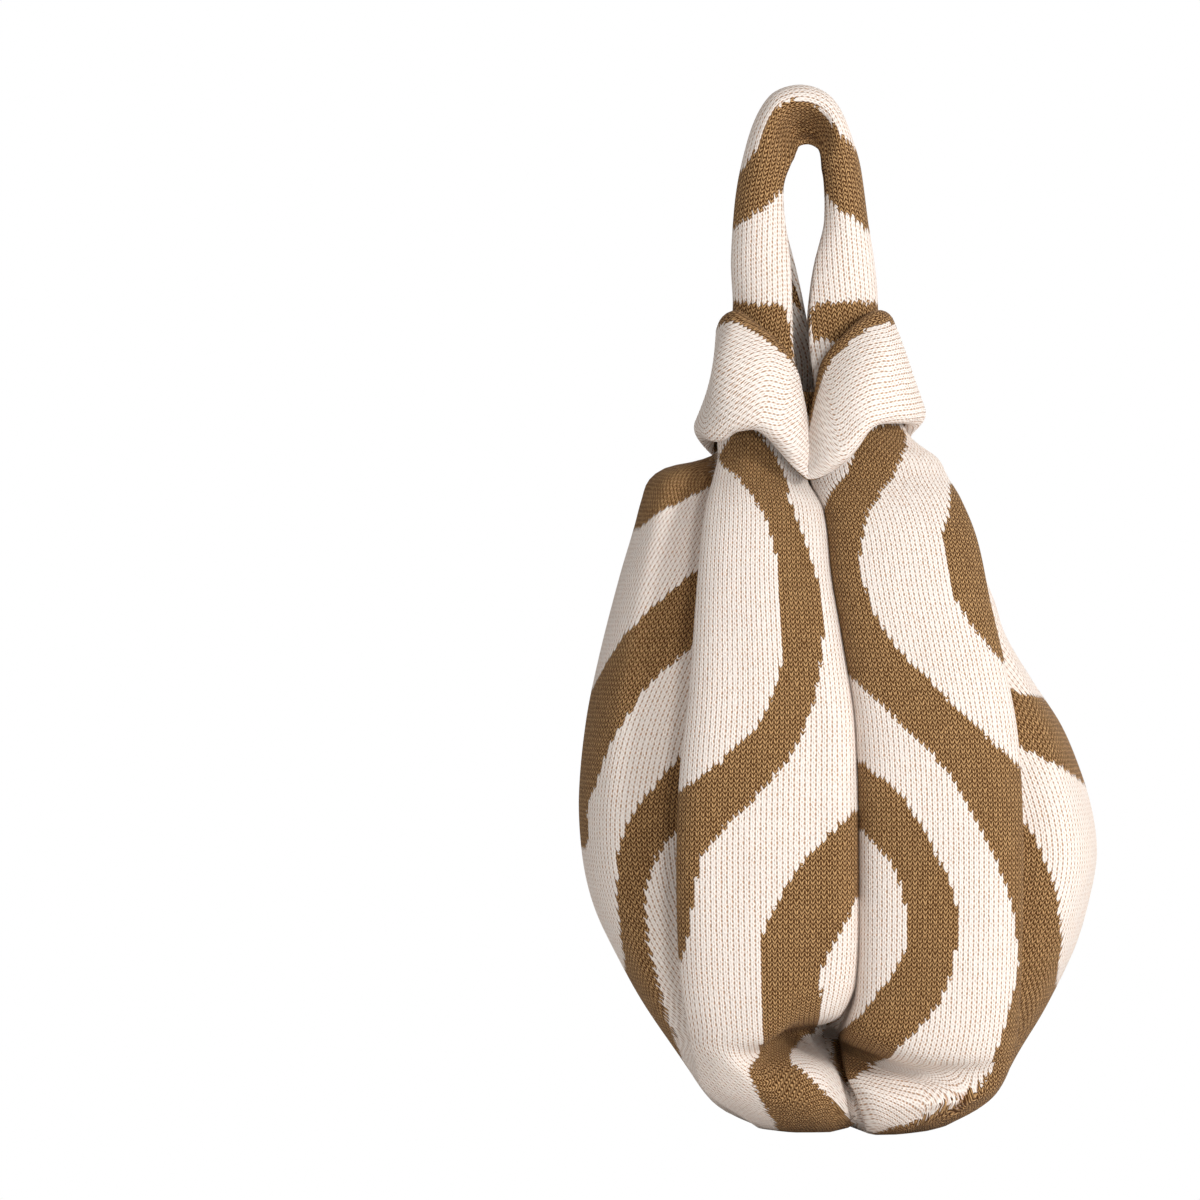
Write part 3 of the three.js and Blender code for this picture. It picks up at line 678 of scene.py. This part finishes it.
def knit_material(name):
    """Plain-side jersey stitches, two legs in a V for each, with shade painted into their hollows. The
    yarn's colour is chosen once for each stitch, so that a stripe's edge steps from stitch to stitch."""
    material = bpy.data.materials.new(name)
    material.use_nodes = True
    tree = material.node_tree
    shader = tree.nodes["Principled BSDF"]
    shader.inputs["Roughness"].default_value = 0.88
    shader.inputs["Specular IOR Level"].default_value = 0.12
    shader.inputs["Sheen Weight"].default_value = 0.04
    shader.inputs["Sheen Roughness"].default_value = 0.45
    shader.inputs["Sheen Tint"].default_value = (1.0, 0.93, 0.86, 1.0)

    stitches = tree.nodes.new("ShaderNodeUVMap")
    stitches.uv_map = "stitches"
    at = tree.nodes.new("ShaderNodeSeparateXYZ")
    tree.links.new(stitches.outputs[0], at.inputs[0])
    stripe = tree.nodes.new("ShaderNodeAttribute")
    stripe.attribute_name = "stripe"
    depth = tree.nodes.new("ShaderNodeSeparateXYZ")
    tree.links.new(stripe.outputs["Vector"], depth.inputs[0])

    uneven = tree.nodes.new("ShaderNodeTexNoise")
    uneven.inputs["Scale"].default_value = 0.9
    uneven.inputs["Detail"].default_value = 1.0
    tree.links.new(stitches.outputs[0], uneven.inputs["Vector"])
    offsets = tree.nodes.new("ShaderNodeSeparateXYZ")
    tree.links.new(uneven.outputs["Color"], offsets.inputs[0])
    aside = around_middle(tree, offsets.outputs[0], 0, SPREAD_ACROSS)
    higher = around_middle(tree, offsets.outputs[1], 0, SPREAD_ALONG)
    across = reckon(tree, "ADD", at.outputs[0], aside)
    along = reckon(tree, "ADD", at.outputs[1], higher)
    wale = reckon(tree, "FLOOR", across)
    off_middle = reckon(tree, "SUBTRACT", reckon(tree, "SUBTRACT", across, wale), 0.5)
    leg = reckon(tree, "ABSOLUTE", off_middle)
    leaned = reckon(tree, "MULTIPLY_ADD", leg, -LEG_RISE, along)
    course = reckon(tree, "FLOOR", leaned)
    up_leg = reckon(tree, "SUBTRACT", leaned, course)
    cell = tree.nodes.new("ShaderNodeCombineXYZ")
    tree.links.new(wale, cell.inputs[0])
    tree.links.new(course, cell.inputs[1])
    chance = tree.nodes.new("ShaderNodeTexWhiteNoise")
    chance.noise_dimensions = "2D"
    tree.links.new(cell.outputs[0], chance.inputs["Vector"])

    # Each place's depth in its stripe is carried back to the middle of its stitch, so that the
    # whole stitch has one colour.
    from_stitch_v = reckon(tree, "SUBTRACT", along, reckon(tree, "ADD", course, 0.5 + LEG_RISE / 4))
    shift = reckon(
        tree, "ADD",
        reckon(tree, "MULTIPLY", depth.outputs[1], off_middle),
        reckon(tree, "MULTIPLY", depth.outputs[2], from_stitch_v),
    )
    stitch_depth = reckon(tree, "SUBTRACT", depth.outputs[0], shift)

    ragged = around_middle(tree, chance.outputs["Value"], 0, SPREAD_OF_EDGE)
    is_brown = reckon(tree, "GREATER_THAN", reckon(tree, "ADD", stitch_depth, ragged), 0.0)

    # Holes lie between the wales, and smaller ones between a stitch's two legs. The hollow mask below
    # paints shade into them, into the grooves between the wales and onto the lower part of each leg. It
    # also drives the bump.
    from_edge = reckon(tree, "SUBTRACT", 0.5, leg)
    from_half = reckon(tree, "ABSOLUTE", reckon(tree, "SUBTRACT", reckon(tree, "FRACT", along), 0.5))
    from_course = reckon(tree, "SUBTRACT", 0.5, from_half)
    strength = around_middle(tree, chance.outputs["Value"], 1, SPREAD_OF_HOLES)
    edge_hole = soft_spot(tree, from_edge, from_course, HOLE_BETWEEN_WALES)
    leg_hole = soft_spot(tree, leg, from_half, HOLE_IN_STITCH)
    leg_hole = reckon(tree, "MULTIPLY", leg_hole, HOLE_IN_STITCH_DARK)
    holes = reckon(tree, "MULTIPLY", reckon(tree, "ADD", edge_hole, leg_hole), strength)
    darker_in_brown = reckon(tree, "MULTIPLY_ADD", is_brown, HOLES_MORE_IN_BROWN, 1.0)
    holes = reckon(tree, "MULTIPLY", holes, darker_in_brown)
    edge_line = reckon(tree, "MULTIPLY", soft_line(tree, from_edge, LINE_BETWEEN_WALES), LINE_DARK)
    crown = reckon(tree, "SINE", reckon(tree, "MULTIPLY", up_leg, math.pi))
    between_courses = reckon(
        tree, "MULTIPLY_ADD", is_brown, BETWEEN_COURSES_MORE_IN_BROWN, BETWEEN_COURSES_DARK
    )
    shallow = reckon(tree, "MULTIPLY", reckon(tree, "SUBTRACT", 1.0, crown), between_courses)
    hollow = reckon(tree, "ADD", reckon(tree, "ADD", holes, edge_line), shallow)
    hollow = reckon(tree, "MINIMUM", hollow, 1.0)

    fibre_at = tree.nodes.new("ShaderNodeMapping")
    fibre_at.inputs["Scale"].default_value = (5.0, 2.6, 1.0)
    tree.links.new(stitches.outputs[0], fibre_at.inputs["Vector"])
    fibre = tree.nodes.new("ShaderNodeTexNoise")
    fibre.inputs["Scale"].default_value = 1.0
    fibre.inputs["Detail"].default_value = 2.0
    tree.links.new(fibre_at.outputs[0], fibre.inputs["Vector"])
    place = tree.nodes.new("ShaderNodeTexCoord")
    cloudy = tree.nodes.new("ShaderNodeTexNoise")
    cloudy.inputs["Scale"].default_value = 28.0
    cloudy.inputs["Detail"].default_value = 3.0
    tree.links.new(place.outputs["Object"], cloudy.inputs["Vector"])

    # Painted shade: the hollow mask blends the yarn's colour towards shade, which is its colour in
    # painted shade.
    yarn = blend_colour(tree, is_brown, CREAM, BROWN)
    shade = blend_colour(tree, is_brown, CREAM_IN_PAINTED_SHADE, BROWN_IN_PAINTED_SHADE)
    knit = blend_colour(tree, hollow, yarn, shade)
    by_fibre = around_middle(tree, fibre.outputs["Fac"], 1, SPREAD_OF_FIBRES)
    by_stitch = around_middle(tree, chance.outputs["Value"], 1, SPREAD_OF_STITCHES)
    by_part = around_middle(tree, cloudy.outputs["Fac"], 1, SPREAD_OF_PARTS)
    light = reckon(tree, "MULTIPLY", reckon(tree, "MULTIPLY", by_fibre, by_stitch), by_part)
    tone = tree.nodes.new("ShaderNodeVectorMath")
    tone.operation = "SCALE"
    tree.links.new(knit, tone.inputs[0])
    tree.links.new(light, tone.inputs["Scale"])
    tree.links.new(tone.outputs[0], shader.inputs["Base Color"])

    fuzz = reckon(tree, "SUBTRACT", reckon(tree, "MULTIPLY", fibre.outputs["Fac"], FUZZ), hollow)
    bump = tree.nodes.new("ShaderNodeBump")
    bump.inputs["Strength"].default_value = 0.75
    bump.inputs["Distance"].default_value = 0.0008
    tree.links.new(fuzz, bump.inputs["Height"])
    tree.links.new(bump.outputs[0], shader.inputs["Normal"])
    return material


body.data.materials.append(knit_material("body_knit"))
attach(body, "root")
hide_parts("body")


# The long handle: the same knit, a strap curled round into a soft tube. It stands up from the neck
# in an arch, and both its legs come up through the loop of the short handle.
# Each stop of the arch: its edge at the hand hole and its outer edge, its middle, half its depth, how
# many degrees it curls round to each side, its dent, and how far its back edge lies further in.
ARCH = [
    # inner x, inner z, outer x, outer z, y, deep, curl, dent, flap
    (-19, 326.5, -50, 326.5, 0, 18.5, 96, 0, 6), (-21.3, 345, -48.5, 345, -2, 17, 108, 0, 9),
    (-21.5, 366, -47.1, 366, -5, 14, 128, 0, 6), (-22, 384, -48, 384, -7, 12.5, 140, 0, 2.5),
    (-24.6, 405, -47, 404, -8, 12.5, 142, 0, 0), (-25, 418, -45.3, 419, -8, 13, 142, 0, 0),
    (-22.8, 426, -42.2, 433.5, -8, 13, 142, 2, 0), (-20.6, 432.5, -37.4, 448.5, -8, 13, 140, 7, 0),
    (-19, 437.9, -29.5, 460.2, -8, 13, 138, 13, 0), (-15, 439.8, -17, 464, -8, 13, 136, 16, 0),
    (-10.9, 438.7, -5.5, 460.3, -8, 13, 138, 13, 0), (-8.2, 434.6, 1.5, 451.5, -8, 13.5, 140, 6, 0),
    (-7.4, 427.5, 6.5, 438.5, -8, 14, 142, 1, 0), (-6.3, 420, 9.9, 426, -8, 14, 142, 0, 0),
    (-6.2, 403, 13, 403, -8, 14, 142, 0, 0), (-9.9, 387, 15.6, 387, -7, 13.5, 140, 0, 0),
    (-12.1, 371.5, 17.3, 371.5, -5, 14, 130, 0, 0), (-12.8, 350, 18.7, 350, -2, 17, 108, 0, 0),
    (-9.5, 326.5, 23.5, 326.5, 0, 18.5, 96, 0, 0),
]
ARCH_STRIPES = [
    "-55,397 -47,400 -43,403 -35,408 -28,414 -24,418 -17,421 -10,420 -5,415 -1,409 6,406"
    " 12,400 21,395 23,413 14,435 8,436 6,438 0,444 -5,451 -12,457 -19,459 -26,456 -32,448"
    " -35,438 -42,429 -44,425 -55,421",
    "-55,368 -45,368 -35,367 -21,368 -19,315 -55,315",
    "-13,368 5,368 23,368 23,346 11,348 1,349 -6,351 -13,351",
]
# The face that looks in between the legs has one brown patch at the back.
ARCH_INNER_STRIPES = [ARCH_STRIPES[0], "-23,384 -19,378 -14.5,370 -13,364 -19,367 -24,371"]
ARCH_STEPS = 55
# The dent lies in front at the hand hole. Its place and its half width are radians round the curl.
DENT_AT = -1.95
DENT_HALF = 0.55
# How many times the stops of a table are doubled to make the rows of a strap.
DOUBLINGS = 3


def stops_along(rows):
    """Rows of a table with further ones between them, on a smooth curve through them all."""
    stops = np.array(rows, float)
    for _ in range(DOUBLINGS):
        last = len(stops) - 1
        i = np.arange(last)
        outside = stops[np.maximum(i - 1, 0)] + stops[np.minimum(i + 2, last)]
        between = (9 * (stops[i] + stops[i + 1]) - outside) / 16
        doubled = np.empty((2 * last + 1, stops.shape[1]))
        doubled[0::2] = stops
        doubled[1::2] = between
        stops = doubled
    return stops


def strap(name, outer, u, v, depth, inner_depth):
    """A strap of cloth from the grid of points on its outer face, with round edges. u and v count
    its stitches, and the depths are those of its stripes on the outer and the inner face."""
    inner = outer - sheet_normals(outer, closed=False) * CLOTH
    low_away = outer[:, 0] - outer[:, 1]
    high_away = outer[:, -1] - outer[:, -2]
    low_away /= np.linalg.norm(low_away, axis=-1, keepdims=True)
    high_away /= np.linalg.norm(high_away, axis=-1, keepdims=True)
    high_rim = np.stack(round_rim(outer[:, -1], inner[:, -1], high_away), axis=1)
    low_rim = np.stack(round_rim(inner[:, 0], outer[:, 0], low_away), axis=1)
    rings = np.concatenate([outer, high_rim, inner[:, ::-1], low_rim], axis=1)
    field = stripe_field(depth, u, v)
    inner_field = stripe_field(inner_depth, u, v)[:, ::-1] * (1.0, -1.0, 1.0)
    high_edge = np.repeat(field[:, -1:], RIM_STEPS, axis=1)
    low_edge = np.repeat(field[:, :1], RIM_STEPS, axis=1)
    whole = np.concatenate([field, high_edge, inner_field, low_edge, field[:, :1]], axis=1)
    once_round = np.concatenate([rings, rings[:, :1]], axis=1)
    across = u[:, :1] + arc_length(once_round, axis=1) / WALE
    high_v = np.repeat(v[:, -1:], RIM_STEPS, axis=1)
    low_v = np.repeat(v[:, :1], RIM_STEPS, axis=1)
    uv = np.stack([across, np.concatenate([v, high_v, v[:, ::-1], low_v, v[:, :1]], axis=1)], axis=-1)

    def end_faces(index):
        """Closes the cut ends, from one face of the cloth to the other."""
        count = outer.shape[1]
        total = rings.shape[1]
        faces = []
        for row, turned_round in ((0, False), (-1, True)):
            ring = [int(value) for value in index[row][:total]]
            ring = ring[::-1] if turned_round else ring
            shift = RIM_STEPS if turned_round else 0
            ring = ring[shift:] + ring[:shift]
            for k in range(count - 1):
                other = 2 * count + RIM_STEPS - 1 - k
                faces.append([ring[k], ring[k + 1], ring[other - 1], ring[other]])
            faces.append([ring[count - 1 + k] for k in range(RIM_STEPS + 2)])
            faces.append([ring[(2 * count + RIM_STEPS - 1 + k) % total] for k in range(RIM_STEPS + 2)])
        return np.empty((0, 3)), faces

    return knit_mesh(name, rings, face_corners(uv), face_corners(whole), end_faces)


stops = stops_along(ARCH)
inner_x, inner_z, outer_x, outer_z, y, deep, curl, dent, flap = (stops[:, k : k + 1] for k in range(9))
x = (inner_x + outer_x) / 2
z = (inner_z + outer_z) / 2
wide = np.hypot(outer_x - inner_x, outer_z - inner_z) / 2
reach = np.radians(curl)
turn = reach * np.linspace(-1, 1, ARCH_STEPS + 1)[None]
out = wide * (2 * (np.cos(turn) - np.cos(reach)) / (1 - np.cos(reach)) - 1)
out = out - flap * np.maximum(turn / reach, 0) ** 3
pushed = dent * np.exp(-(((turn - DENT_AT) / DENT_HALF) ** 2))
arch = np.stack(
    [
        x + (outer_x - inner_x) / wide / 2 * out,
        y + deep * np.sin(turn) + pushed,
        z + (outer_z - inner_z) / wide / 2 * out,
    ],
    axis=-1,
)
apex = int(np.argmax(z))
along_each = arc_length(arch, axis=0)
along_each -= along_each[apex : apex + 1]
along_middle = arc_length(np.stack([x, z], axis=-1), axis=0)
along_middle = along_middle - along_middle[apex]
handle_v = (along_each + along_middle) / 2 / COURSE
around_each = arc_length(arch, axis=1)
handle_u = (around_each - around_each[:, ARCH_STEPS // 2 : ARCH_STEPS // 2 + 1]) / WALE
seen_x, seen_z = seen_from_front(arch)
long_handle = strap(
    "knit_long_handle", arch, handle_u, handle_v,
    stripes(ARCH_STRIPES, seen_x, seen_z), stripes(ARCH_INNER_STRIPES, seen_x, seen_z),
)
long_handle.data.materials.append(knit_material("long_handle_knit"))
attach(long_handle, "root")
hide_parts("long_handle")


# The short handle: a strap of the same knit from the back of the neck. It goes round both legs of
# the long handle like a collar, hangs in front in a V, and its upper edge rolls over.
# Each stop of the collar: its upper edge, its lower edge, how far its face bows out between them,
# and how far both edges roll over.
COLLAR = [
    # x, y, z, low x, low y, low z, bow, roll
    (-14.5, 25.5, 331, -15.5, 25, 296, 1, 0.2), (-18, 29, 336, -22, 29.5, 295, 2, 0.3),
    (-32, 29, 343, -37, 29.7, 295, 3, 0.3),
    (-44.5, 23, 350, -52.5, 25, 300, 1, 0.5), (-50.5, 10, 356, -61.5, 10, 308, -1.5, 0.9),
    (-50.8, -8, 359.5, -61.8, -12, 310, -2.5, 1), (-49.3, -19, 361, -58.5, -31, 308, -0.5, 1),
    (-46, -25.5, 360.5, -52, -41, 311.5, 5, 1), (-39, -28.5, 356, -43, -45.5, 313.5, 5, 1),
    (-31, -30, 350, -36, -46, 313, 4, 1), (-24, -30.5, 342, -29, -44.5, 308, 3, 1),
    (-20, -31, 332, -22.5, -42, 299.5, 2, 0.6), (-14.4, -31, 309, -15.3, -38.5, 288, 0.5, 0.25),
    (-9, -31, 331, -7.5, -42, 293.5, 1, 0.6), (-6, -30, 341, -0.5, -44, 299, 2.5, 1),
    (1, -30, 349.5, 5.5, -45.5, 306, 4, 1), (8.5, -28.5, 356, 11, -45.5, 312, 5, 1),
    (16, -25, 360.5, 18, -41.5, 315.5, 5, 1), (20, -18, 361.5, 30, -31, 316.5, 2, 1),
    (21.3, -8, 359, 36.8, -12, 316, 0, 1), (21.8, 10, 355, 34, 10, 311.5, 0, 0.9),
    (18.5, 23, 349, 27, 27, 303, 2, 0.5), (7, 29, 343, 13, 30.9, 295, 3, 0.3),
    (-7, 29, 336, -3, 29.5, 295, 2, 0.3), (-10.8, 25.5, 331, -9.8, 25, 296, 1, 0.2),
]
# The radius of the rolled edges, and the degrees of their steps.
ROLL = 3.5
UPPER_ROLL = [93, 78, 62, 46, 31, 16]
LOWER_ROLL = [16, 31, 47, 62, 78, 93, 109, 124, 140]
FACE_STEPS = 24
# How wide the brown edge is, by the row of the table above.
BROWN_EDGE = table("row wide", [
    (0, -4), (3, 0), (4.5, 6), (7, 7.5), (9, 7.5), (10.3, 4), (11.5, -2), (12.3, 4), (13.2, 7.5),
    (14.5, 8.5), (18, 8.5), (20, 5), (22, -3),
])


def ahead_of(stops):
    """The way ahead at each stop."""
    last = len(stops) - 1
    i = np.arange(last + 1)
    ahead = stops[np.minimum(i + 1, last)] - stops[np.maximum(i - 1, 0)]
    return ahead / np.linalg.norm(ahead, axis=-1, keepdims=True)


stops = stops_along(COLLAR)
upper = stops[:, :3]
lower = stops[:, 3:6]
bow = stops[:, 6:7]
roll = stops[:, 7:8]
ahead = ahead_of(upper + lower)
outward = np.stack([ahead[:, 1], -ahead[:, 0], 0 * ahead[:, 0]], axis=-1)
outward /= np.linalg.norm(outward, axis=-1, keepdims=True)
down = lower - upper
length = np.linalg.norm(down, axis=-1, keepdims=True)
down = down / length
face = outward - down * np.sum(outward * down, axis=-1, keepdims=True)
face /= np.linalg.norm(face, axis=-1, keepdims=True)
line = []
for degrees in UPPER_ROLL:
    turn = np.radians(degrees * roll)
    line.append((ROLL * (np.cos(turn) - 1), ROLL * (1 - np.sin(turn))))
for t in np.linspace(0, 1, FACE_STEPS + 1):
    line.append((bow * math.sin(math.pi * t), ROLL + (length - 2 * ROLL) * t))
for degrees in LOWER_ROLL:
    turn = np.radians(degrees * roll)
    line.append((ROLL * (np.cos(turn) - 1), length - ROLL * (1 - np.sin(turn))))
collar = np.stack([upper + face * out + down * along for out, along in line], axis=1)
# Stitches are counted from the crease of the V, the lowest stop of the upper edge in front.
in_front = np.flatnonzero(stops[:, 1] <= 0)
crease = int(in_front[np.argmin(stops[in_front, 2])])
across_each = arc_length(collar, axis=1)
along_each = arc_length(collar, axis=0)
along_each -= along_each[crease : crease + 1]
along_middle = along_each.mean(axis=1, keepdims=True)
collar_u = across_each / WALE
collar_v = (along_each + along_middle) / 2 / COURSE
row_at = np.arange(len(stops)) / 2**DOUBLINGS
edge = smooth_column(BROWN_EDGE, "row", "wide", row_at)[:, None]
short_handle = strap(
    "knit_short_handle", collar, collar_u, collar_v, across_each - edge, edge - across_each
)
short_handle.data.materials.append(knit_material("short_handle_knit"))
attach(short_handle, "root")
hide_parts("short_handle")


# The stage: a floor and a background of even white, as in a cut-out picture, and soft light from the
# front and the right, with one lamp behind. Only the camera sees the full white. The bag gets less
# light from it.
def seen_white(tree, output, other):
    """A surface or a sky that is plain white to the camera and the other shader to everything else."""
    on_surface = output.type == "OUTPUT_MATERIAL"
    white = tree.nodes.new("ShaderNodeEmission" if on_surface else "ShaderNodeBackground")
    white.inputs["Color"].default_value = (1.0, 1.0, 1.0, 1.0)
    white.inputs["Strength"].default_value = 1.0
    path = tree.nodes.new("ShaderNodeLightPath")
    choice = tree.nodes.new("ShaderNodeMixShader")
    tree.links.new(path.outputs["Is Camera Ray"], choice.inputs["Fac"])
    tree.links.new(other.outputs[0], choice.inputs[1])
    tree.links.new(white.outputs[0], choice.inputs[2])
    tree.links.new(choice.outputs[0], output.inputs["Surface"])


FLOOR_HALF = 40.0
floor_corners = [(x * FLOOR_HALF, y * FLOOR_HALF, 0.0) for x, y in ((-1, -1), (1, -1), (1, 1), (-1, 1))]
floor_mesh = bpy.data.meshes.new("floor")
floor_mesh.from_pydata(floor_corners, [], [(0, 1, 2, 3)])
floor = bpy.data.objects.new("floor", floor_mesh)
bpy.context.collection.objects.link(floor)
white_floor = bpy.data.materials.new("white_floor")
white_floor.use_nodes = True
floor_nodes = white_floor.node_tree.nodes
floor_nodes["Principled BSDF"].inputs["Base Color"].default_value = (0.92, 0.92, 0.92, 1.0)
floor_nodes["Principled BSDF"].inputs["Roughness"].default_value = 1.0
seen_white(white_floor.node_tree, floor_nodes["Material Output"], floor_nodes["Principled BSDF"])
floor.data.materials.append(white_floor)

world = bpy.data.worlds.new("studio")
bpy.context.scene.world = world
world.use_nodes = True
sky = world.node_tree.nodes["Background"]
sky.inputs["Color"].default_value = (1.0, 0.99, 0.98, 1.0)
toward_right = world.node_tree.nodes.new("ShaderNodeTexCoord")
sky_side = world.node_tree.nodes.new("ShaderNodeSeparateXYZ")
world.node_tree.links.new(toward_right.outputs["Generated"], sky_side.inputs[0])
SKY = 0.5
SKY_MORE_AT_RIGHT = 0.06
sky_strength = reckon(world.node_tree, "MULTIPLY_ADD", sky_side.outputs[0], SKY_MORE_AT_RIGHT, SKY)
world.node_tree.links.new(sky_strength, sky.inputs["Strength"])
seen_white(world.node_tree, world.node_tree.nodes["World Output"], sky)


AIM = Vector((0.0, 0.0, 0.2))


def lamp(name, place, size, power):
    """A round soft lamp that looks at the middle of the bag's belly."""
    data = bpy.data.lights.new(name, "AREA")
    data.shape = "DISK"
    data.size = size
    data.energy = power
    lamp_object = bpy.data.objects.new(name, data)
    bpy.context.collection.objects.link(lamp_object)
    lamp_object.location = place
    lamp_object.rotation_euler = (Vector(place) - AIM).to_track_quat("Z", "Y").to_euler()


lamp("key", (1.75, -1.75, 0.85), 0.5, 36.0)
lamp("front", (0.5, -2.45, 0.4), 0.5, 17.0)
lamp("back", (0.7, 2.3, 1.3), 1.2, 24.0)
bpy.context.scene.view_settings.view_transform = "Standard"
